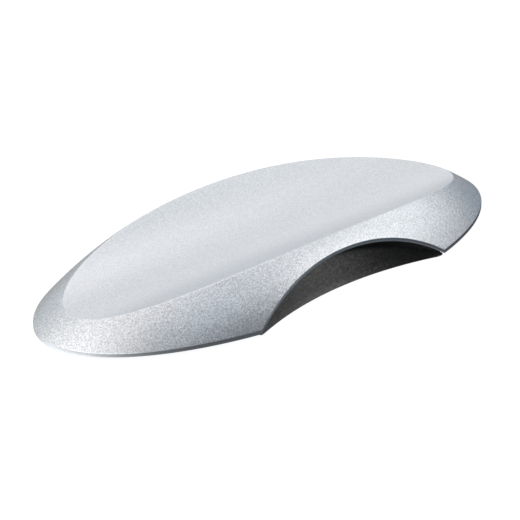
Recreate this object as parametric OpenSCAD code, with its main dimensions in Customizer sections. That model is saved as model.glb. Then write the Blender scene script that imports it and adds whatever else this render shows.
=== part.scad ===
// Oval desk tray. A thin silver shell has a straight, round-bottomed
// trough along its length and a convex skirt around it. A concave notch in the
// front side shows the dark base, which is held to the shell by four screws
// from below. Four rubber feet cover the screw heads.
// Millimetres, +X to the right end, +Y to the back, +Z up, desk at z = 0.

/* [Shell] */
// Overall length of the tray
tray_l = 254; // [240:1:270]
// Width of the full oval, before the front notch is cut
tray_w = 123.4; // [118:0.2:130]
// Height of the shell's lower edge above the desk
edge_gap = 1.9; // [1.8:0.1:3]
// Height of the upright band along the lower edge
edge_band = 1.8; // [1.2:0.1:2]
// Rise of the skirt at its foot, over one full oval radius
skirt_rise = 90.2; // [87:0.1:94]
// How strongly the skirt rounds over towards the crest
skirt_round = 82.6; // [79:0.1:86]
// How much the rounding eases near the crest
skirt_ease = 18.3; // [15:0.1:22]
// Wall thickness of the skirt, measured level
skirt_t = 1.3; // [1.2:0.1:1.6]
// Drop of the skirt's inner face below its outer face
skirt_drop = 0.7; // [0.6:0.1:0.9]

/* [Trough] */
// Height of the trough's lowest line above the desk
trough_h = 11.85; // [11.5:0.05:12.5]
// Radius of the trough's round bottom
trough_r = 66.6; // [64:0.1:70]
// Thickness of the trough's floor
trough_t = 1.8; // [1.6:0.1:2]

/* [Front notch] */
// Depth of the notch, from the full oval's front to its middle
notch_d = 14.66; // [13:0.02:16]
// Radius of the notch, seen from above
notch_r = 202; // [190:1:215]

/* [Base] */
// Height of the base's underside above the desk
base_z = 0.5; // [0.5:0.05:1]
// Thickness of the base's floor plate
plate_t = 2.4; // [2.2:0.1:3]
// How far the floor plate stays inside the shell's lower edge
plate_inset = 4; // [3.5:0.1:6]
// Thickness of the base's upright walls
wall_t = 2; // [1.6:0.1:2.4]
// Setback of the notch wall's foot behind the notch, in the middle
wall_set = 2.9; // [2.6:0.02:4]
// Radius of the notch wall's foot, seen from above
wall_r = 160.4; // [155:0.2:166]
// Lean of the notch wall, back towards its top, in degrees
wall_lean = 30; // [24:0.5:32]
// Half width of the notch wall, to the middle of its round ends
wall_hw = 56.2; // [55.4:0.1:56.6]
// Half width over which the notch wall's foot is level
foot_hw = 53; // [52:0.1:54]
// Radius of the rounded lower corners at the notch wall's ends
foot_r = 12; // [11:0.5:20]
// Gap between the base and the inside of the shell
base_gap = 0.3; // [0.25:0.05:0.4]

/* [Fasteners and feet] */
// Half the spacing of the screws along the tray
fix_x = 68; // [60:1:70]
// Half the spacing of the screws across the tray
fix_y = 25; // [20:0.5:26]
// Height of the joint face between posts and bosses
joint_z = 6.4; // [6.2:0.1:7]
// Outer diameter of a screw's thread
thread_d = 2.9; // [2.6:0.1:3.1]
// Diameter of a screw's head
head_d = 5.6; // [5:0.1:6]
// Diameter of a rubber foot
foot_d = 12; // [11:0.5:13]
// Thickness of a rubber foot
foot_t = 2; // [1.9:0.1:2.1]

/* [Hidden] */
$fn = 96;

a = tray_l / 2;                     // half length of the oval
b = tray_w / 2;                     // half width of the oval
notch_y = -(b - notch_d) - notch_r; // centre of the notch circle
wall_y = -(b - notch_d) + wall_set - wall_r; // centre of the notch wall's circle
wall_a = asin(wall_hw / (wall_r + wall_t / 2)); // half angle of the notch wall

// Front corners of the shell, where the notch circle meets the oval:
// a quadratic in y from the two curves.
qa = 1 / (b * b) - 1 / (a * a);
qb = notch_y / (a * a);
qc = (notch_r * notch_r - notch_y * notch_y) / (a * a) - 1;
corner_y = (-qb - sqrt(qb * qb - qa * qc)) / qa;
// The oval's centre stands back of the origin, so that the origin is in the
// middle of the notched outline.
mid_y = -(b + corner_y) / 2;

segs = 96;                          // facets round the oval
rings = 11;                         // facet rings up the skirt
top_s = 0.5;                        // oval radius where the skirt blank is capped

head_h = 2;                         // height of a screw head
seat_z = joint_z - 2;               // face that a screw head pulls on
pocket_z = foot_t - 0.02;           // roof of a foot's pocket

function skirt(u) = skirt_rise * u - skirt_round * u * u + skirt_ease * u * u * u;
function ring_s(i) = 1 - (1 - top_s) * pow(i / rings, 1.15);

// Solid under an oval skirt: upright from z0 to z1, then curving inwards.
module oval_dome(ha, hb, z0, z1) {
    levels = concat([[1, z0]],
                    [for (i = [0 : rings]) [ring_s(i), z1 + skirt(1 - ring_s(i))]]);
    pts = [for (l = levels, j = [0 : segs - 1])
              [l[0] * ha * cos(360 * j / segs), l[0] * hb * sin(360 * j / segs), l[1]]];
    last = len(levels) - 1;
    faces = concat(
        [[for (j = [0 : segs - 1]) j]],
        [for (i = [0 : last - 1], j = [0 : segs - 1])
            let (k = (j + 1) % segs)
            [i * segs + j, (i + 1) * segs + j, (i + 1) * segs + k, i * segs + k]],
        [[for (j = [segs - 1 : -1 : 0]) last * segs + j]]);
    polyhedron(pts, faces, convexity = 4);
}

// Oval plate or prism.
module oval_prism(ha, hb, z0, z1) {
    translate([0, 0, z0])
        linear_extrude(z1 - z0)
            polygon([for (j = [0 : segs - 1]) [ha * cos(360 * j / segs), hb * sin(360 * j / segs)]]);
}

// Round bar along the tray whose underside is the trough.
module trough_bar(r) {
    translate([0, 0, trough_h + trough_r])
        rotate([0, 90, 0])
            cylinder(r = r, h = tray_l + 20, center = true);
}

module notch_bar() {
    translate([0, notch_y, -5]) cylinder(r = notch_r, h = 60);
}

// Leaning drum whose side is the notch wall's face, grown by g.
module wall_drum(g) {
    foot = wall_r + g - 0.5 * tan(wall_lean);
    translate([0, wall_y, base_z - 0.5])
        cylinder(r1 = foot, r2 = foot + 40 * tan(wall_lean), h = 40);
}

// Space under the rounded lower corners at the notch wall's ends.
module under_ends() {
    for (sx = [-1, 1]) difference() {
        translate([sx * (foot_hw + 4), -55, base_z]) cube([8, 5.4, 3], center = true);
        translate([sx * foot_hw, -60, base_z + foot_r]) rotate([-90, 0, 0]) cylinder(r = foot_r, h = 12);
    }
}

module at_fixings() {
    for (sx = [-1, 1], sy = [-1, 1]) translate([sx * fix_x, sy * fix_y, 0]) children();
}

module tray_shell() {
    color([0.76, 0.78, 0.80])
    translate([0, mid_y, 0])
    difference() {
        union() {
            difference() {
                oval_dome(a, b, edge_gap, edge_gap + edge_band);
                difference() {
                    oval_dome(a - skirt_t, b - skirt_t, edge_gap - 1, edge_gap + edge_band - skirt_drop);
                    trough_bar(trough_r + trough_t);
                }
            }
            // screw bosses under the trough
            at_fixings() translate([0, 0, joint_z]) cylinder(d = 8, h = 12);
            // stiffening ribs under the trough
            for (x = [-40, 0, 40]) translate([x - 0.6, -22, trough_h - 4.6]) cube([1.2, 44, 8]);
            translate([-86, -0.6, trough_h - 4.6]) cube([172, 1.2, 6]);
        }
        trough_bar(trough_r);
        notch_bar();
        // holes that the screws cut their thread in
        at_fixings() translate([0, 0, joint_z - 1]) cylinder(d = thread_d + 0.1, h = 7.4);
    }
}

module base_pan() {
    color([0.13, 0.13, 0.13])
    translate([0, mid_y, 0])
    difference() {
        intersection() {
            union() {
                // floor plate and low rim, cut back at the notch
                difference() {
                    union() {
                        oval_prism(a - plate_inset, b - plate_inset, base_z, base_z + plate_t);
                        difference() {
                            oval_prism(a - plate_inset, b - plate_inset, base_z, 12);
                            oval_prism(a - plate_inset - wall_t, b - plate_inset - wall_t, base_z - 1, 13);
                        }
                        for (y = [-12, 12]) translate([-95, y - 0.8, base_z + 0.5]) cube([190, 1.6, 4.4]);
                    }
                    wall_drum(0);
                }
                // notch wall, out to the shell's front corners and up under the trough
                difference() {
                    intersection() {
                        wall_drum(wall_t);
                        translate([0, wall_y, base_z]) linear_extrude(30)
                            polygon([[0, 0], [200 * sin(wall_a), 200 * cos(wall_a)], [-200 * sin(wall_a), 200 * cos(wall_a)]]);
                    }
                    wall_drum(0);
                }
                // low round toes at the ends of the notch wall
                for (sx = [-1, 1])
                    translate([sx * wall_hw, wall_y + (wall_r + wall_t / 2) * cos(wall_a), base_z])
                        cylinder(d = wall_t, h = plate_t);
                // screw posts
                at_fixings() translate([0, 0, base_z]) cylinder(d = 10, h = joint_z - base_z);
            }
            oval_dome(a - skirt_t - base_gap, b - skirt_t - base_gap,
                      base_z - 1, edge_gap + edge_band - skirt_drop - base_gap);
        }
        under_ends();
        // room for the trough above the notch wall
        trough_bar(trough_r + trough_t + base_gap);
        at_fixings() {
            translate([0, 0, base_z - 1]) cylinder(d = foot_d + 0.4, h = pocket_z - base_z + 1);
            translate([0, 0, base_z]) cylinder(d = head_d + 0.6, h = seat_z - base_z);
            translate([0, 0, base_z]) cylinder(d = thread_d + 0.5, h = 12);
        }
    }
}

// Pan-head self-tapping screw, head down, seated at seat_z.
module screw() {
    pitch = 1.1;
    turns = 5;
    core = thread_d / 2 - 0.45;
    tip = seat_z + 1.6 + turns * pitch;
    difference() {
        rotate_extrude()
            polygon(concat(
                [[0, seat_z - head_h], [head_d / 2 - 0.9, seat_z - head_h],
                 [head_d / 2 - 0.25, seat_z - head_h + 0.5], [head_d / 2, seat_z - head_h + 1.2],
                 [head_d / 2, seat_z], [core, seat_z], [core, seat_z + 1.6]],
                [for (i = [0 : turns - 1], p = [[0.45, thread_d / 2], [0.65, thread_d / 2], [1.1, core]])
                    [p[1], seat_z + 1.6 + i * pitch + p[0] * pitch / 1.1]],
                [[0.3, tip + 0.7], [0, tip + 0.7]]));
        // cross recess
        for (r = [0, 90]) translate([0, 0, seat_z - head_h]) rotate([0, 0, r])
            translate([-1.5, -0.35, -1]) cube([3, 0.7, 2.1]);
    }
}

// Rubber foot with a rounded lower edge.
module foot() {
    r = foot_d / 2;
    e = 0.5;
    rotate_extrude()
        polygon(concat([[0, 0]],
            [for (t = [-90 : 15 : 0]) [r - e + e * cos(t), e + e * sin(t)]],
            [[r, foot_t - 0.02], [0, foot_t - 0.02]]));
}

module place(sx, sy) { translate([sx * fix_x, sy * fix_y + mid_y, 0]) children(); }

module screw_front_left() { color([0.60, 0.60, 0.62]) place(-1, -1) screw(); }
module screw_front_right() { color([0.60, 0.60, 0.62]) place(1, -1) screw(); }
module screw_rear_left() { color([0.60, 0.60, 0.62]) place(-1, 1) screw(); }
module screw_rear_right() { color([0.60, 0.60, 0.62]) place(1, 1) screw(); }
module foot_front_left() { color([0.09, 0.09, 0.09]) place(-1, -1) foot(); }
module foot_front_right() { color([0.09, 0.09, 0.09]) place(1, -1) foot(); }
module foot_rear_left() { color([0.09, 0.09, 0.09]) place(-1, 1) foot(); }
module foot_rear_right() { color([0.09, 0.09, 0.09]) place(1, 1) foot(); }

tray_shell();
base_pan();
screw_front_left();
screw_front_right();
screw_rear_left();
screw_rear_right();
foot_front_left();
foot_front_right();
foot_rear_left();
foot_rear_right();
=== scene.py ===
import math

import bmesh
import bpy
import numpy as np
from mathutils import Matrix, Vector
from mathutils.geometry import delaunay_2d_cdt


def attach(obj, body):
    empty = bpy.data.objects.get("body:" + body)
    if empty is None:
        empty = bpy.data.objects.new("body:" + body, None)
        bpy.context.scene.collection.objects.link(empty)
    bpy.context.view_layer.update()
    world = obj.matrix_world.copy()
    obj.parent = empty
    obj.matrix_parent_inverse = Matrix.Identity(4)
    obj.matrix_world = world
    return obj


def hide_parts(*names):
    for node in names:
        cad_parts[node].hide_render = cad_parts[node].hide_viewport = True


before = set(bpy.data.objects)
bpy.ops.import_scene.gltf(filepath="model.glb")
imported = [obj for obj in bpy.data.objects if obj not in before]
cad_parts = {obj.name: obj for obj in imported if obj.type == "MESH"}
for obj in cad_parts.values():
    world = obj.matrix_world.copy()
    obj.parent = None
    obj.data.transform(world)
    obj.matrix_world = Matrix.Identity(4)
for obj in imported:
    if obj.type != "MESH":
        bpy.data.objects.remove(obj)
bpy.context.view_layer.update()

# ------------------------------------------------------------------ sizes
# Millimetres, about the oval's own centre. They repeat the drawing's values.
A, B = 127.0, 61.7                        # half axes of the oval
LIP, BAND = 1.9, 1.8                      # lower edge above the desk, height of the upright band
RISE, ROUND, EASE = 90.2, 82.6, 18.3      # the skirt's curve
SKIN, DROP = 1.3, 0.7                     # skirt: level thickness, drop of the inner face
TROUGH_H, TROUGH_R, TROUGH_T = 11.85, 66.6, 1.8
NOTCH_D, NOTCH_R = 14.66, 202.0
NOTCH_Y = -(B - NOTCH_D) - NOTCH_R
FIX_X, FIX_Y, JOINT_Z = 68.0, 25.0, 6.4   # screw places, joint face of posts and bosses
RIB_Z = TROUGH_H - 4.6

QA = 1 / B**2 - 1 / A**2
QB = NOTCH_Y / A**2
QC = (NOTCH_R**2 - NOTCH_Y**2) / A**2 - 1
CORNER_Y = (-QB - math.sqrt(QB * QB - QA * QC)) / QA
CORNER_X = math.sqrt(NOTCH_R**2 - (CORNER_Y - NOTCH_Y) ** 2)
MID_Y = -(B + CORNER_Y) / 2               # the oval's centre in the row frame

CREST_R = 0.7                             # rounding along the crest of the trough
EDGE_R = 0.6                              # rounding over the upright band
FOOT_R = 0.3                              # rounding under it
CORNER_R = 2.0                            # rounding of the two front corners in plan
SHEET = 1.7                               # greatest upright thickness of the skirt


def skirt(u):
    return RISE * u - ROUND * u * u + EASE * u**3


def skirt_slope(u):
    return RISE - 2 * ROUND * u + 3 * EASE * u * u


def dome(xy, a=A, b=B, z1=LIP + BAND):
    return z1 + skirt(1 - np.hypot(xy[:, 0] / a, xy[:, 1] / b))


def dome_slope(xy, a=A, b=B):
    s = np.hypot(xy[:, 0] / a, xy[:, 1] / b)
    return -skirt_slope(1 - s)[:, None] * np.c_[xy[:, 0] / a**2, xy[:, 1] / b**2] / s[:, None]


def trough(y, r=TROUGH_R):
    return TROUGH_H + TROUGH_R - np.sqrt(r * r - y * y)


def crest(th, a, b, z1, r):
    """Oval radius at which a skirt meets the trough, in each direction th."""
    lo, hi = np.zeros_like(th), np.ones_like(th)
    for _ in range(60):
        mid = (lo + hi) / 2
        inside = z1 + skirt(1 - mid) > trough(mid * b * np.sin(th), r)
        lo, hi = np.where(inside, mid, lo), np.where(inside, hi, mid)
    return (lo + hi) / 2


def unit(v):
    return v / np.linalg.norm(v, axis=-1, keepdims=True)


def along(curve, start, stop, step):
    """Even points on a dense curve between two lengths along it."""
    at = np.r_[0, np.cumsum(np.linalg.norm(np.diff(curve, axis=0), axis=1))]
    stop = at[-1] - stop
    n = max(2, int(round((stop - start) / step)) + 1)
    t = np.linspace(start, stop, n)
    return np.c_[np.interp(t, at, curve[:, 0]), np.interp(t, at, curve[:, 1])]


# ------------------------------------------------------------------ mesh kit
class Shape:
    """Points and faces of one piece, in millimetres about the oval's centre."""

    def __init__(self):
        self.blocks, self.count, self.faces, self.marks = [], 0, [], []

    # Per-point marks: edge picks the upright bands that get a painted blue-grey reflection colour, well marks the
    # trough, and the band-shading mark carries painted shade and painted highlight on the notch band.
    def add(self, points, edge=0.0, well=0.0, painted_band_shading=0.0):
        points = np.asarray(points, float)
        ids = np.arange(self.count, self.count + len(points))
        self.blocks.append(points)
        self.marks.append(np.stack([np.broadcast_to(m, len(points)) for m in (edge, well, painted_band_shading)], 1))
        self.count += len(points)
        return ids

    def points(self):
        return np.concatenate(self.blocks)

    def band(self, a, b):
        """Quads between two closed rows of the same length."""
        self.faces += list(zip(a, b, np.roll(b, -1), np.roll(a, -1)))

    def rows(self, rows):
        for a, b in zip(rows[:-1], rows[1:]):
            self.band(a, b)

    def cap(self, ring):
        self.faces.append(tuple(ring))

    def fill(self, loops, inner, keep):
        """Triangles between closed loops of points, through the points inner, where keep() is true."""
        ids = np.concatenate(list(loops) + [inner])
        flat = self.points()[ids][:, :2]
        edges, first = [], 0
        for loop in loops:
            n = len(loop)
            edges += [(first + i, first + (i + 1) % n) for i in range(n)]
            first += n
        _, _, tris, source, _, _ = delaunay_2d_cdt([Vector(p) for p in flat], edges, [], 1, 1e-7, True)
        source = np.array([s[0] for s in source])
        tris = source[np.array(tris)]
        middle = flat[tris].mean(1)
        self.faces += [tuple(t) for t in ids[tris[keep(middle)]]]

    def build(self, name, sharp=35.0):
        points = self.points() + np.array([0, MID_Y, 0])
        mesh = bpy.data.meshes.new(name)
        mesh.from_pydata((points / 1000).tolist(), [], [[int(i) for i in f] for f in self.faces])
        bm = bmesh.new()
        bm.from_mesh(mesh)
        bmesh.ops.recalc_face_normals(bm, faces=bm.faces)
        loose = [v for v in bm.verts if not v.link_faces]
        open_edges = [e for e in bm.edges if len(e.link_faces) != 2]
        volume = bm.calc_volume(signed=True)
        print(name, len(bm.verts), "points", len(bm.faces), "faces", len(open_edges), "open edges",
              len(loose), "loose", round(volume * 1e9, 1), "mm3")
        bm.to_mesh(mesh)
        bm.free()
        marks = np.concatenate(self.marks).astype(np.float32)
        for i, mark in enumerate(("edge", "well", "painted_band_shading")):
            mesh.attributes.new(mark, "FLOAT", "POINT").data.foreach_set("value", marks[:, i].copy())
        mesh.polygons.foreach_set("use_smooth", [True] * len(mesh.polygons))
        mesh.set_sharp_from_angle(angle=math.radians(sharp))
        made = bpy.data.objects.new(name, mesh)
        bpy.context.scene.collection.objects.link(made)
        return made


def lattice(step, span_x, span_y):
    """Triangular lattice of plan points."""
    out = []
    for j, y in enumerate(np.arange(-span_y, span_y + step, step * 0.8660254)):
        x = np.arange(-span_x, span_x + step, step) + (j % 2) * step / 2
        out.append(np.c_[x, np.full_like(x, y)])
    return np.concatenate(out)


def ring(cx, cy, r, n, turn=0.0):
    t = np.linspace(0, 2 * np.pi, n, endpoint=False) + turn
    return np.c_[cx + r * np.cos(t), cy + r * np.sin(t)]


def stepped(corners, step):
    """A closed polygon with points along its sides."""
    out = []
    for p, q in zip(corners, np.roll(corners, -1, axis=0)):
        n = max(1, int(round(np.linalg.norm(q - p) / step)))
        out.append(p + (q - p) * (np.arange(n) / n)[:, None])
    return np.concatenate(out)


# ------------------------------------------------------------------ silver shell
def shell_outline():
    """Points and inward normals round the lower edge, counter-clockwise from the right corner."""
    f0 = math.atan2(CORNER_Y / B, CORNER_X / A)
    f = np.linspace(f0, math.pi - f0, 40001)
    arm1 = unit(np.array([-A * math.sin(f0), B * math.cos(f0)]))
    r = np.array([CORNER_X, CORNER_Y - NOTCH_Y]) / NOTCH_R
    arm2 = np.array([-r[1], r[0]])
    half = math.acos(float(arm1 @ arm2)) / 2
    back = CORNER_R / math.tan(half)
    oval = along(np.c_[A * np.cos(f), B * np.sin(f)], back, back, 1.4)
    oval_n = unit(-np.c_[oval[:, 0] / A**2, oval[:, 1] / B**2])
    p = np.linspace(-math.asin(CORNER_X / NOTCH_R), math.asin(CORNER_X / NOTCH_R), 20001)
    notch = along(np.c_[NOTCH_R * np.sin(p), NOTCH_Y + NOTCH_R * np.cos(p)], back, back, 1.2)
    notch_n = unit(notch - np.array([0, NOTCH_Y]))
    corner = np.array([CORNER_X, CORNER_Y])
    centre = corner + unit(arm1 + arm2) * CORNER_R / math.sin(half)
    d0, d1 = unit(corner + arm2 * back - centre), unit(corner + arm1 * back - centre)
    t = np.linspace(0, 1, 9)[1:-1, None]
    turn = math.acos(float(d0 @ d1))
    d = (np.sin((1 - t) * turn) * d0 + np.sin(t * turn) * d1) / math.sin(turn)
    right, right_n = centre + CORNER_R * d, -d
    left, left_n = right[::-1] * [-1, 1], right_n[::-1] * [-1, 1]
    return np.concatenate([oval, left, notch, right]), np.concatenate([oval_n, left_n, notch_n, right_n])


def underside(xy):
    """Height of the shell's inner face: flat under the band, then up the inside of the skirt."""
    inner = LIP + BAND - DROP + skirt(1 - np.hypot(xy[:, 0] / (A - SKIN), xy[:, 1] / (B - SKIN)))
    return np.maximum(np.maximum(inner, dome(xy) - SHEET), LIP)


def cut_height(P):
    """Height of the upright band: low on the oval and at the front corners, the full sheet in the notch."""
    r = np.hypot(P[:, 0], P[:, 1] - NOTCH_Y)
    inside = (np.abs(r - NOTCH_R) < 0.2) & (np.abs(P[:, 0]) < CORNER_X + 0.5)
    t = np.clip((CORNER_X - np.abs(P[:, 0])) / 6.0, 0, 1)
    return BAND + np.where(inside, (SHEET - BAND) * t * t * (3 - 2 * t), 0.0)


def make_shell():
    sh = Shape()
    P, N = shell_outline()

    def row(xy, z, **mark):
        return sh.add(np.c_[xy, z], **mark)

    # crest of the trough
    th = np.arctan2(P[:, 1] / B, P[:, 0] / A)
    s = crest(th, A, B, LIP + BAND, TROUGH_R)
    Q = s[:, None] * np.c_[A * np.cos(th), B * np.sin(th)]
    zq = dome(Q)
    gd = dome_slope(Q)
    gt = np.c_[np.zeros(len(Q)), Q[:, 1] / np.sqrt(TROUGH_R**2 - Q[:, 1] ** 2)]
    out = unit(gt - gd)
    ai, ao = np.arctan((gt * out).sum(1)), np.arctan((gd * out).sum(1))
    L = CREST_R * np.tan((ai - ao) / 2)
    xy = Q + out * (-L * np.cos(ai) - 0.3)[:, None]
    inner_loop = row(xy, trough(xy[:, 1]), well=1.0)
    rows = [inner_loop]
    dc = -L * np.cos(ai) + CREST_R * np.sin(ai)
    zc = zq - L * np.sin(ai) - CREST_R * np.cos(ai)
    for k in np.linspace(0, 1, 8):
        al = ai + (ao - ai) * k
        rows.append(row(Q + out * (dc - CREST_R * np.sin(al))[:, None], zc + CREST_R * np.cos(al), well=1.0 - k))

    # skirt, from the crest down to the band
    g = (dome_slope(P) * N).sum(1)
    w = np.sqrt(1 + g * g)
    start = Q + out * (L * np.cos(ao))[:, None]
    end = P + N * (EDGE_R - EDGE_R * g / w)[:, None]
    span = np.linalg.norm(end - start, axis=1)
    first, last = 0.3 / span, 1 - 0.3 / span
    for k in np.linspace(0, 1, 21):
        t = (first + (last - first) * k)[:, None]
        xy = start + (end - start) * t
        rows.append(row(xy, dome(xy)))

    # upright band with its rounded edges
    zc = dome(P) + EDGE_R * (g - w)
    b0 = np.arctan2(1, -g)
    # Painted shade and painted highlight on the notch band: positive values darken its upper edge towards the right,
    # negative ones lighten the band towards the left. The edge mark gives the whole upright band its painted
    # reflection colour.
    notch = (BAND - cut_height(P)) / (BAND - SHEET) * np.clip((P[:, 0] + 8.0) / 24.0, -1, 1)
    dark, light = np.maximum(notch, 0), np.minimum(notch, 0)
    for k in np.linspace(0, 1, 6):
        be = b0 + (np.pi - b0) * k
        rows.append(row(P + N * (EDGE_R + EDGE_R * np.cos(be))[:, None], zc + EDGE_R * np.sin(be), edge=k, painted_band_shading=(dark + light) * k))
    a2, b2 = A - SKIN, B - SKIN
    zb = dome(P) - cut_height(P)
    zc2 = zb + FOOT_R
    for k in (0.34, 0.67):
        rows.append(row(P, zc + (zc2 - zc) * k, edge=1.0, painted_band_shading=light + dark * max(0.0, 1.2 - 1.8 * k)))
    for k in np.linspace(0, 1, 5):
        be = math.pi + math.pi / 2 * k
        rows.append(row(P + N * (FOOT_R + FOOT_R * math.cos(be)), zc2 + FOOT_R * math.sin(be), edge=1.0, painted_band_shading=light))

    # inside of the skirt
    for d in (0.45, 0.65, 0.9, 1.2, 1.5):
        xy = P + N * d
        rows.append(row(xy, np.maximum(underside(xy), zb + 0.2 * (d - FOOT_R))))
    xy = P + N * 1.7
    rows.append(row(xy, underside(xy)))
    U = P + N * 1.7
    th2 = np.unwrap(np.arctan2(U[:, 1] / b2, U[:, 0] / a2))
    turn = math.copysign(2 * math.pi, th2[-1] - th2[0])
    th2 = np.convolve(np.r_[th2[-6:] - turn, th2, th2[:6] + turn], np.full(13, 1 / 13), "valid")  # spread at the corners
    s3 = crest(th2, a2, b2, LIP + BAND - DROP, TROUGH_R + TROUGH_T)
    Qi = s3[:, None] * np.c_[a2 * np.cos(th2), b2 * np.sin(th2)]
    for k in np.linspace(0, 1, 13)[1:]:
        xy = U + (Qi - U) * k
        rows.append(row(xy, dome(xy, a2, b2, LIP + BAND - DROP)))
    sh.rows(rows)
    under_loop = rows[-1]

    # trough
    pts = lattice(2.6, A, B)
    t = np.arctan2(pts[:, 1] / B, pts[:, 0] / A)
    sc = crest(t, A, B, LIP + BAND, TROUGH_R)
    room = 1 - np.hypot(pts[:, 0] / A, pts[:, 1] / B) / sc
    inside = pts[(room * np.hypot(A * np.cos(t), B * np.sin(t)) * sc) > 2.6]
    sh.fill([inner_loop], row(inside, trough(inside[:, 1]), well=1.0), lambda c: np.ones(len(c), bool))

    # underside of the trough, with screw bosses and ribs
    low = TROUGH_R + TROUGH_T
    places = [(sx * FIX_X, sy * FIX_Y) for sx in (-1, 1) for sy in (-1, 1)]
    loops = [under_loop]
    for cx, cy in places:
        chain = []
        for r, z in ((4.0, None), (4.0, JOINT_Z + 0.3), (3.7, JOINT_Z), (1.8, JOINT_Z), (1.5, JOINT_Z + 0.3), (1.5, 12.8)):
            c = ring(cx, cy, r, 40)
            chain.append(row(c, trough(c[:, 1], low) if z is None else np.full(len(c), z)))
        sh.rows(chain)
        sh.cap(chain[-1])
        loops.append(chain[0])
    side = [(86.0, -0.6), (86.0, 0.6)]
    for x in (40.0, 0.0, -40.0):
        side += [(x + 0.6, 0.6), (x + 0.6, 22.0), (x - 0.6, 22.0), (x - 0.6, 0.6)]
    outline = np.array(side + [(-x, -y) for x, y in side])
    rib = stepped(outline, 2.0)
    top = row(rib, trough(rib[:, 1], low))
    foot = row(rib, np.full(len(rib), RIB_Z))
    sh.band(top, foot)
    loops.append(top)

    def in_rib(c, grow=0.0):
        x, y = np.abs(c[:, 0]), np.abs(c[:, 1])
        cross = (np.minimum(x, np.abs(x - 40)) < 0.6 + grow) & (y < 22 + grow)
        return cross | ((x < 86 + grow) & (y < 0.6 + grow))

    def in_boss(c, grow=0.0):
        return np.hypot(np.abs(c[:, 0]) - FIX_X, np.abs(c[:, 1]) - FIX_Y) < 4.0 + grow

    pts = lattice(4.0, A, B)
    t = np.arctan2(pts[:, 1] / b2, pts[:, 0] / a2)
    sc = crest(t, a2, b2, LIP + BAND - DROP, low)
    room = 1 - np.hypot(pts[:, 0] / a2, pts[:, 1] / b2) / sc
    ok = (room * np.hypot(a2 * np.cos(t), b2 * np.sin(t)) * sc) > 3.0
    pts = pts[ok & ~in_rib(pts, 1.2) & ~in_boss(pts, 1.2)]
    sh.fill(loops, row(pts, trough(pts[:, 1], low)), lambda c: ~in_rib(c, -1e-4) & ~in_boss(c, -0.005))
    sh.fill([foot], row(np.zeros((0, 2)), np.zeros(0)), lambda c: in_rib(c, 1e-4))
    return sh.build("shell_moulding")


# ------------------------------------------------------------------ dark base
BASE_Z, PLATE_T, INSET = 0.5, 2.4, 4.0    # underside above the desk, floor plate, setback of the plate
WALL_T, WALL_R, WALL_HW = 2.0, 160.4, 56.2
WALL_Y = -(B - NOTCH_D) + 2.9 - WALL_R   # centre of the notch wall's circle
LEAN = -math.tan(math.radians(30.0))      # the notch wall leans back towards its top
WALL_A = math.asin(WALL_HW / (WALL_R + WALL_T / 2))
GAP = 0.3                                 # between the base and the inside of the shell


def cover(xy):
    """Height that the base stays under, close to the inside of the shell."""
    skirt_side = dome(xy, A - SKIN - GAP, B - SKIN - GAP, LIP + BAND - DROP - GAP)
    return np.minimum(skirt_side, trough(xy[:, 1], TROUGH_R + TROUGH_T + GAP))


def meet(a, b, r):
    """Direction in which an oval meets a circle of radius r about the notch wall's centre, on the right."""
    lo, hi = math.radians(-75), math.radians(-50)
    for _ in range(60):
        mid = (lo + hi) / 2
        if math.hypot(a * math.cos(mid), b * math.sin(mid) - WALL_Y) > r:
            hi = mid
        else:
            lo = mid
    return (lo + hi) / 2


def on_wall(ang, r):
    return np.c_[r * np.sin(ang), WALL_Y + r * np.cos(ang)]


def in_loop(c, loop):
    """Which points lie inside a closed plan loop."""
    x0, y0 = loop.T
    x1, y1 = np.roll(loop, -1, axis=0).T
    x, y = c[:, 0][:, None], c[:, 1][:, None]
    cross = (y0 > y) != (y1 > y)
    at = x0 + (y - y0) * (x1 - x0) / np.where(y1 == y0, 1e-12, y1 - y0)
    return (cross & (x < at)).sum(1) % 2 == 1


def wall_outline():
    """Plan points round the foot of the notch wall, outward normals and lean per height."""
    psi = np.linspace(-WALL_A, WALL_A, int(round(2 * WALL_A * WALL_R / 1.2)))
    ray = np.c_[np.sin(psi), np.cos(psi)]
    centre = np.array([0, WALL_Y]) + (WALL_R + WALL_T / 2) * ray[-1]
    t = np.radians(np.linspace(-90, 90, 13)) - WALL_A
    nose_n = np.c_[np.cos(t), np.sin(t)][1:-1]
    nose = centre + WALL_T / 2 * nose_n
    flip = np.array([-1, 1])
    P = np.concatenate([on_wall(psi, WALL_R), nose, on_wall(psi[::-1], WALL_R + WALL_T), nose[::-1] * flip])
    N = np.concatenate([-ray, nose_n, ray[::-1], nose_n[::-1] * flip])
    return P, N, -LEAN * unit(P - np.array([0, WALL_Y]))


def wall_foot(P):
    """Height of the notch wall's lower edge, with rounded lower corners at its ends."""
    out = np.maximum(np.abs(P[:, 0]) - 53.0, 0.0)
    return BASE_Z + 12.0 - np.sqrt(144.0 - out * out)


def wall_top(P, lean):
    """Height at which the leaning wall meets the cover. Its ends are rounded down to low toes."""
    z = np.full(len(P), 3.0)
    for _ in range(60):
        z = cover(P + lean * (z - BASE_Z)[:, None])
    from_end = np.maximum((WALL_A - np.abs(np.arctan2(P[:, 0], P[:, 1] - WALL_Y))) * WALL_R + 0.95, 0.0)
    return np.minimum(z, wall_foot(P) + 0.35 + 0.8 * from_end + 0.15 * from_end**2)


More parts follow.
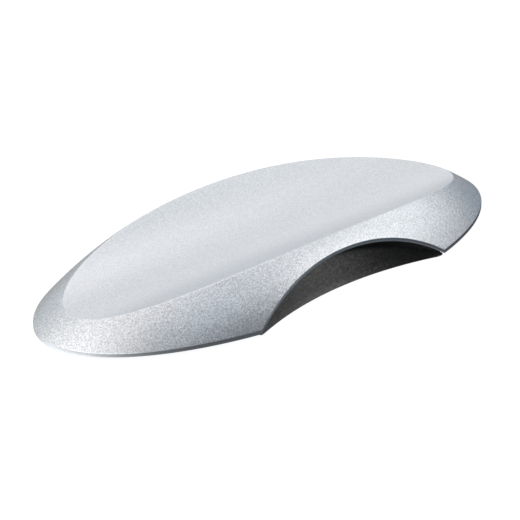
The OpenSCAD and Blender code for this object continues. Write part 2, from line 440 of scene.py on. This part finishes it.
def pan_outline(inset, r):
    """Plan points and outward normals of an oval that is cut off by a circle round the notch wall's centre."""
    pa, pb = A - inset, B - inset
    j = meet(pa, pb, r)
    f = np.linspace(j, math.pi - j, 20001)
    oval = along(np.c_[pa * np.cos(f), pb * np.sin(f)], 0, 0, 1.7)
    oval_n = unit(np.c_[oval[:, 0] / pa**2, oval[:, 1] / pb**2])
    oval_n[0], oval_n[-1] = (1, 0), (-1, 0)
    reach = math.asin(oval[0, 0] / r)
    psi = np.linspace(-reach, reach, int(round(2 * reach * r / 1.5)))[1:-1]
    P = np.concatenate([oval, on_wall(psi, r)])
    return P, np.concatenate([oval_n, -np.c_[np.sin(psi), np.cos(psi)]]), len(oval)


def rim_top(P, n):
    """Top of the pan's rim: close under the skirt, and down to a low bead along the notch wall."""
    t = np.where(P[:, 1] < -30, np.clip((np.abs(P[:, 0]) - 55.0) / 9.0, 0, 1), 1.0)
    t[n:] = 0.0
    low = BASE_Z + PLATE_T + 0.3
    return low + (cover(P) - low) * t * t * (3 - 2 * t)


def make_base():
    sh = Shape()
    none = np.zeros(0, int)

    def row(xy, z):
        return sh.add(np.c_[xy, np.broadcast_to(z, len(xy))])

    def upright(P, N, lean, bottom, top, r, rt):
        """Rows up a wall, with its lower edge rounded by r and its upper one by rt."""
        rows = []
        for k in np.linspace(0, 1, 6):
            be = np.pi / 2 * k
            rows.append(row(P - N * (r * (1 - np.sin(be)))[:, None], bottom + r * (1 - np.cos(be))))
        plan = P + lean * (top - bottom)[:, None]
        g = -(cover(plan + 0.05 * N) - cover(plan - 0.05 * N)) / 0.1
        w = np.sqrt(1 + g * g)
        zc = top + rt * (g - w)
        low = bottom + r
        for k in np.linspace(0, 1, 11)[1:]:
            z = low + (zc - low) * k
            rows.append(row(P + lean * (z - bottom)[:, None], z))
        b0 = np.arctan2(1, -g)
        for k in np.linspace(0, 1, 4)[1:]:
            be = np.pi + (b0 - np.pi) * k
            rows.append(row(plan - N * (rt + rt * np.cos(be))[:, None], zc + rt * np.sin(be)))
        sh.rows(rows)
        return rows[0], rows[-1]

    # notch wall, its foot grown into the floor plate
    P, N, lean = wall_outline()
    even = np.ones(len(P))
    for loop in upright(P, N, lean, wall_foot(P), wall_top(P, lean), 0.2 * even, 0.25 * even):
        edge = sh.points()[loop, :2]
        sh.fill([loop], none, lambda c: in_loop(c, edge))

    # floor pan with its low rim
    floor_z = BASE_Z + PLATE_T
    P, N, n = pan_outline(INSET, WALL_R + 1.5)
    r, rt = np.full(len(P), 0.2), np.full(len(P), 0.25)
    r[n:], rt[n:] = 0.3, 0.05
    r[[0, n - 1]] = rt[[0, n - 1]] = 0.01
    bottom_loop, outer_top = upright(P, N, np.zeros_like(P), np.full(len(P), BASE_Z), rim_top(P, n), r, rt)
    inner, _, n = pan_outline(INSET + WALL_T, WALL_R + 2.1)
    top = rim_top(inner, n)
    inner_rows = [row(inner, top + (floor_z - top) * k) for k in np.linspace(0, 1, 6)]
    sh.rows(inner_rows)
    inner_top, plate_loop = inner_rows[0], inner_rows[-1]
    at = sh.points()
    sh.fill([outer_top, inner_top], none,
            lambda c: in_loop(c, at[outer_top, :2]) & ~in_loop(c, at[inner_top, :2]))

    # screw posts and foot pockets, from the floor plate down to the underside
    holes_up, holes_down = [], []
    for cx in (-FIX_X, FIX_X):
        for cy in (-FIX_Y, FIX_Y):
            chain = [row(ring(cx, cy, rr, 48), z) for rr, z in (
                (5.4, floor_z), (5.1, floor_z + 0.1), (5.0, floor_z + 0.4), (5.0, JOINT_Z - 0.3), (4.7, JOINT_Z),
                (1.9, JOINT_Z), (1.7, JOINT_Z - 0.2), (1.7, JOINT_Z - 2), (3.1, JOINT_Z - 2), (3.1, 1.98),
                (6.2, 1.98), (6.2, BASE_Z + 0.25), (6.28, BASE_Z + 0.07), (6.45, BASE_Z))]
            sh.rows(chain)
            holes_up.append(chain[0])
            holes_down.append(chain[-1])

    # stiffening ribs on the floor plate
    for y in (-12.0, 12.0):
        side = stepped(np.array([(95.0, y - 0.8), (95.0, y + 0.8), (-95.0, y + 0.8), (-95.0, y - 0.8)]), 3.0)
        chain = [row(side, floor_z), row(side, BASE_Z + 4.9)]
        sh.rows(chain)
        sh.fill([chain[-1]], none, lambda c: np.ones(len(c), bool))
        holes_up.append(chain[0])

    def plate(loop, holes, z):
        edge = sh.points()[loop, :2]
        cut = [sh.points()[h, :2] for h in holes]
        pts = lattice(6.0, A, B)
        clear = np.full(len(pts), 1e9)
        for e in [edge] + cut:
            clear = np.minimum(clear, np.hypot(*(pts[:, None] - e[None]).transpose(2, 0, 1)).min(1))
        ok = in_loop(pts, edge) & (clear > 2.5)
        for e in cut:
            ok &= ~in_loop(pts, e)
        inside = row(pts[ok], z)

        def keep(c):
            good = in_loop(c, edge)
            for e in cut:
                good &= ~in_loop(c, e)
            return good

        sh.fill([loop] + holes, inside, keep)

    plate(plate_loop, holes_up, floor_z)
    plate(bottom_loop, holes_down, BASE_Z)
    return sh.build("base_moulding")


# ------------------------------------------------------------------ materials
SILVER = (0.672, 0.70, 0.73)              # mean shade of the silver paint
FLAKE_TILT = 0.05                         # how far a flake's normal leans
FLAKE_FINE, FLAKE_COARSE = 2800.0, 2000.0 # flakes to a metre, on the left and on the right
FLAKE_LEFT, FLAKE_RIGHT, FLAKE_WELL = 0.30, 0.27, 0.14  # spread of the flakes' shades


def material(name):
    m = bpy.data.materials.new(name)
    m.use_nodes = True
    tree = m.node_tree
    tree.nodes.clear()
    out = tree.nodes.new("ShaderNodeOutputMaterial")
    bsdf = tree.nodes.new("ShaderNodeBsdfPrincipled")
    tree.links.new(bsdf.outputs[0], out.inputs[0])
    where = tree.nodes.new("ShaderNodeTexCoord").outputs["Object"]
    return m, tree, bsdf, where


def noise(tree, where, scale, detail=2.0, rough=0.5):
    n = tree.nodes.new("ShaderNodeTexNoise")
    n.inputs["Scale"].default_value = scale
    n.inputs["Detail"].default_value = detail
    n.inputs["Roughness"].default_value = rough
    tree.links.new(where, n.inputs["Vector"])
    return n.outputs["Fac"]


def ramp(tree, fac, stops):
    n = tree.nodes.new("ShaderNodeValToRGB")
    while len(n.color_ramp.elements) < len(stops):
        n.color_ramp.elements.new(0.5)
    for e, (at, c) in zip(n.color_ramp.elements, stops):
        e.position = at
        e.color = (*c, 1.0) if len(c) == 3 else c
    tree.links.new(fac, n.inputs[0])
    return n.outputs[0]


def mapped(tree, fac, lo, hi, to_lo, to_hi):
    n = tree.nodes.new("ShaderNodeMapRange")
    for key, v in (("From Min", lo), ("From Max", hi), ("To Min", to_lo), ("To Max", to_hi)):
        n.inputs[key].default_value = v
    tree.links.new(fac, n.inputs["Value"])
    return n.outputs["Result"]


def mixed(tree, fac, a, b):
    n = tree.nodes.new("ShaderNodeMix")
    n.data_type = "RGBA"
    tree.links.new(fac, n.inputs["Factor"])
    for socket, v in ((n.inputs[6], a), (n.inputs[7], b)):
        if isinstance(v, tuple):
            socket.default_value = (*v, 1.0)
        else:
            tree.links.new(v, socket)
    return n.outputs[2]


def bump(tree, height, depth, strength=1.0, below=None):
    n = tree.nodes.new("ShaderNodeBump")
    n.inputs["Strength"].default_value = strength
    n.inputs["Distance"].default_value = depth
    tree.links.new(height, n.inputs["Height"])
    if below is not None:
        tree.links.new(below, n.inputs["Normal"])
    return n.outputs["Normal"]


def attribute(tree, name):
    n = tree.nodes.new("ShaderNodeAttribute")
    n.attribute_name = name
    return n.outputs["Fac"]


def flakes(tree, where, scale, tilt):
    """Fine flakes: a random shade for each, and a normal that each tilts by up to tilt."""
    cells = tree.nodes.new("ShaderNodeTexVoronoi")
    cells.inputs["Scale"].default_value = scale
    tree.links.new(where, cells.inputs["Vector"])
    centred = tree.nodes.new("ShaderNodeVectorMath")
    centred.operation = "SUBTRACT"
    centred.inputs[1].default_value = (0.5, 0.5, 0.5)
    tree.links.new(cells.outputs["Color"], centred.inputs[0])
    tilted = tree.nodes.new("ShaderNodeVectorMath")
    tilted.operation = "SCALE"
    tree.links.new(centred.outputs[0], tilted.inputs[0])
    if isinstance(tilt, float):
        tilted.inputs["Scale"].default_value = tilt
    else:
        tree.links.new(tilt, tilted.inputs["Scale"])
    add = tree.nodes.new("ShaderNodeVectorMath")
    tree.links.new(tree.nodes.new("ShaderNodeNewGeometry").outputs["Normal"], add.inputs[0])
    tree.links.new(tilted.outputs[0], add.inputs[1])
    even = tree.nodes.new("ShaderNodeVectorMath")
    even.operation = "NORMALIZE"
    tree.links.new(add.outputs[0], even.inputs[0])
    split = tree.nodes.new("ShaderNodeSeparateColor")
    tree.links.new(cells.outputs["Color"], split.inputs[0])
    return split.outputs[0], even.outputs[0]


def silver_paint():
    """Satin metallic silver over a fine moulded grain, smoother in the trough. The upright bands along the cut edges
    are painted blue-grey as a painted reflection of dark surroundings, and the notch band carries painted shade on its
    upper edge towards the right and a painted highlight over it towards the left.
    """
    m, t, bsdf, where = material("silver_paint")
    fine, normal = flakes(t, where, FLAKE_FINE, FLAKE_TILT)
    coarse, _ = flakes(t, where, FLAKE_COARSE, FLAKE_TILT)
    broad = noise(t, where, 40.0, 3.0, 0.55)

    def spread(shade, by):
        return ramp(t, shade, [(0.0, tuple(c * (1 - by) for c in SILVER)), (1.0, tuple(c * (1 + by) for c in SILVER))])

    place = t.nodes.new("ShaderNodeSeparateXYZ")
    t.links.new(where, place.inputs[0])
    far = mapped(t, place.outputs["X"], -0.06, 0.08, 0.0, 1.0)
    grain = mixed(t, far, spread(fine, FLAKE_LEFT), spread(coarse, FLAKE_RIGHT))
    flake = mixed(t, attribute(t, "well"), grain, spread(fine, FLAKE_WELL))
    # Painted reflection: these blue-grey band colours stand in for the dark surroundings that the upright bands
    # reflect. On the notch, the band-shading mark mixes in a painted darker upper edge and a painted lighter band.
    slate = ramp(t, fine, [(0.0, (0.45, 0.48, 0.51)), (1.0, (0.60, 0.63, 0.66))])
    painted_band_shading = ramp(t, fine, [(0.0, (0.22, 0.24, 0.26)), (1.0, (0.31, 0.33, 0.35))])
    pale = ramp(t, fine, [(0.0, (0.76, 0.81, 0.86)), (1.0, (0.90, 0.95, 1.00))])
    band = mixed(t, mapped(t, attribute(t, "painted_band_shading"), -1.0, 0.0, 1.0, 0.0), mixed(t, attribute(t, "painted_band_shading"), slate, painted_band_shading), pale)
    t.links.new(mixed(t, attribute(t, "edge"), flake, band), bsdf.inputs["Base Color"])
    t.links.new(mapped(t, broad, 0.3, 0.7, 0.28, 0.31), bsdf.inputs["Roughness"])
    bsdf.inputs["Metallic"].default_value = 1.0
    t.links.new(normal, bsdf.inputs["Normal"])
    return m


def dark_plastic():
    """Satin charcoal plastic with a fine spark-eroded grain."""
    m, t, bsdf, where = material("charcoal_plastic")
    shade, normal = flakes(t, where, 2600.0, 0.08)
    broad = noise(t, where, 60.0, 3.0, 0.5)
    colour = ramp(t, shade, [(0.0, (0.003, 0.003, 0.003)), (1.0, (0.006, 0.006, 0.006))])
    t.links.new(colour, bsdf.inputs["Base Color"])
    t.links.new(mapped(t, broad, 0.3, 0.7, 0.15, 0.20), bsdf.inputs["Roughness"])
    bsdf.inputs["IOR"].default_value = 2.0
    t.links.new(mapped(t, shade, 0.0, 1.0, 0.40, 0.60), bsdf.inputs["Specular IOR Level"])
    t.links.new(normal, bsdf.inputs["Normal"])
    return m


def rubber():
    m, t, bsdf, where = material("black_rubber")
    fine = noise(t, where, 1500.0, 3.0, 0.6)
    colour = ramp(t, fine, [(0.3, (0.010, 0.010, 0.010)), (0.7, (0.028, 0.028, 0.027))])
    t.links.new(colour, bsdf.inputs["Base Color"])
    t.links.new(mapped(t, fine, 0.3, 0.7, 0.72, 0.9), bsdf.inputs["Roughness"])
    t.links.new(bump(t, fine, 0.00008), bsdf.inputs["Normal"])
    return m


def zinc():
    m, t, bsdf, where = material("zinc_steel")
    fine = noise(t, where, 1200.0, 3.0, 0.6)
    colour = ramp(t, fine, [(0.3, (0.42, 0.43, 0.45)), (0.7, (0.60, 0.61, 0.62))])
    t.links.new(colour, bsdf.inputs["Base Color"])
    bsdf.inputs["Metallic"].default_value = 1.0
    t.links.new(mapped(t, fine, 0.3, 0.7, 0.28, 0.42), bsdf.inputs["Roughness"])
    t.links.new(bump(t, fine, 0.00002), bsdf.inputs["Normal"])
    return m


def paint(obj, m):
    obj.data.materials.clear()
    obj.data.materials.append(m)


def repaint(node, m):
    """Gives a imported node's object the material, in its own slots."""
    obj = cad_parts[node]
    if not obj.material_slots:
        obj.data.materials.append(m)
    for s in obj.material_slots:
        s.material = m


# ------------------------------------------------------------------ pieces
shell = make_shell()
paint(shell, silver_paint())
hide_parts("tray_shell")
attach(shell, "root")

base = make_base()
paint(base, dark_plastic())
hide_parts("base_pan")
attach(base, "root")

steel, foot_rubber = zinc(), rubber()
for end in ("front_left", "front_right", "rear_left", "rear_right"):
    repaint("screw_" + end, steel)
    repaint("foot_" + end, foot_rubber)

# ------------------------------------------------------------------ camera
camera = bpy.data.objects.new("camera", bpy.data.cameras.new("camera"))
bpy.context.scene.collection.objects.link(camera)
right = Vector((0.73521758, -0.67743475, -0.02317915))
up = Vector((0.30174364, 0.2964775, 0.90611912))
back = Vector((-0.60696448, -0.67318887, 0.4223871))
place = Vector((-0.5197296, -0.5718234, 0.3585534))
camera.matrix_world = Matrix.Translation(place) @ Matrix((right, up, back)).transposed().to_4x4()
camera.data.sensor_width = 36.0
camera.data.lens = 128.224
camera.data.clip_start, camera.data.clip_end = 0.02, 50.0
bpy.context.scene.camera = camera

# ------------------------------------------------------------------ floor and light
floor_mesh = bpy.data.meshes.new("floor")
floor_mesh.from_pydata([(-6, -6, 0), (6, -6, 0), (6, 6, 0), (-6, 6, 0)], [], [(0, 1, 2, 3)])
floor = bpy.data.objects.new("floor", floor_mesh)
bpy.context.scene.collection.objects.link(floor)
m, t, bsdf, where = material("pale_floor")
bsdf.inputs["Base Color"].default_value = (0.15, 0.15, 0.15, 1.0)
bsdf.inputs["Roughness"].default_value = 0.9
bsdf.inputs["Specular IOR Level"].default_value = 0.0
bsdf.inputs["Emission Color"].default_value = (1.0, 1.0, 1.0, 1.0)
bsdf.inputs["Emission Strength"].default_value = 0.95
floor.visible_glossy = floor.visible_diffuse = floor.visible_shadow = False
floor.data.materials.append(m)

# Soft boxes round the object, each a smooth patch of the sky:
# azimuth from the front (-Y) towards +X, elevation, tightness, strength and tint.
SOFT_BOXES = [
    (-127.0, -51.7, 3.34, 2.14, (0.99, 1.00, 1.01)),  # very wide, from below, back left
    (-152.6, 29.9, 3.8, 0.87, (1.01, 1.00, 0.99)),    # wide, back left
    (-96.0, 42.0, 7.2, 1.64, (1.04, 0.99, 0.97)),     # left
    (-76.0, -36.7, 23.4, 0.65, (1.10, 1.00, 0.90)),   # left, from below
    (-52.8, 20.8, 12.3, 1.84, (0.97, 1.00, 1.03)),    # front left
    (-12.0, 80.4, 25.6, 0.43, (1.02, 0.99, 0.99)),    # overhead
    (15.2, 59.3, 36.0, 0.64, (0.88, 0.99, 1.12)),     # high, front
    (53.5, 48.4, 36.0, 0.66, (1.09, 0.97, 0.94)),     # front right, upper half
    (53.5, 32.8, 36.0, 1.69, (1.01, 1.01, 0.98)),     # front right, lower half
    (73.0, 54.0, 30.0, 0.19, (0.76, 1.07, 1.16)),     # front right, top
    (72.0, 22.0, 36.0, 0.36, (0.99, 0.98, 1.03)),     # front right, low
    (68.0, -25.0, 12.0, 0.074, (0.90, 1.00, 1.10)),   # front right, from below
    (89.0, 28.4, 23.7, 0.85, (0.97, 1.00, 1.03)),     # right
    (88.0, 38.0, 60.0, 0.32, (1.10, 1.00, 0.90)),     # right, its upper middle
    (128.7, 63.4, 9.7, 1.28, (1.02, 0.99, 0.99)),     # high, back right
    (137.9, 13.1, 13.3, 0.77, (0.99, 0.99, 1.02)),    # low, back right
    (156.0, 16.0, 40.0, 0.173, (1.09, 1.05, 0.85)),   # low, back
    (168.0, 14.0, 40.0, 0.083, (0.41, 1.02, 1.56)),   # faint fill, low, back
    (32.0, -3.9, 36.0, 0.49, (0.80, 1.00, 1.20)),     # faint fill, low, front right
    (30.0, -24.0, 5.0, 0.068, (0.88, 1.00, 1.12)),    # faint fill, front, from below
    (106.0, 3.0, 36.0, 0.104, (0.42, 0.96, 1.62)),    # faint fill, level, right
    (118.0, 25.0, 20.0, 0.29, (1.01, 1.03, 0.96)),    # back right
]
world = bpy.data.worlds.new("studio")
bpy.context.scene.world = world
world.use_nodes = True
wt = world.node_tree
wt.nodes.clear()
sky = wt.nodes.new("ShaderNodeTexCoord").outputs["Generated"]
total = None
for azimuth, elevation, tight, strength, tint in SOFT_BOXES:
    a, e = math.radians(azimuth), math.radians(elevation)
    dot = wt.nodes.new("ShaderNodeVectorMath")
    dot.operation = "DOT_PRODUCT"
    wt.links.new(sky, dot.inputs[0])
    dot.inputs[1].default_value = (math.sin(a) * math.cos(e), -math.cos(a) * math.cos(e), math.sin(e))
    power = wt.nodes.new("ShaderNodeMath")
    power.operation = "MULTIPLY_ADD"
    wt.links.new(dot.outputs["Value"], power.inputs[0])
    power.inputs[1].default_value, power.inputs[2].default_value = tight, -tight
    patch = wt.nodes.new("ShaderNodeMath")
    patch.operation = "EXPONENT"
    wt.links.new(power.outputs[0], patch.inputs[0])
    light = wt.nodes.new("ShaderNodeVectorMath")
    light.operation = "SCALE"
    light.inputs[0].default_value = [strength * c for c in tint]
    wt.links.new(patch.outputs[0], light.inputs["Scale"])
    if total is None:
        total = light.outputs[0]
    else:
        add = wt.nodes.new("ShaderNodeVectorMath")
        wt.links.new(total, add.inputs[0])
        wt.links.new(light.outputs[0], add.inputs[1])
        total = add.outputs[0]
background = wt.nodes.new("ShaderNodeBackground")
wt.links.new(total, background.inputs["Color"])
wt.links.new(background.outputs[0], wt.nodes.new("ShaderNodeOutputWorld").inputs[0])
bpy.context.scene.view_settings.view_transform = "Standard"
bpy.context.scene.view_settings.look = "None"
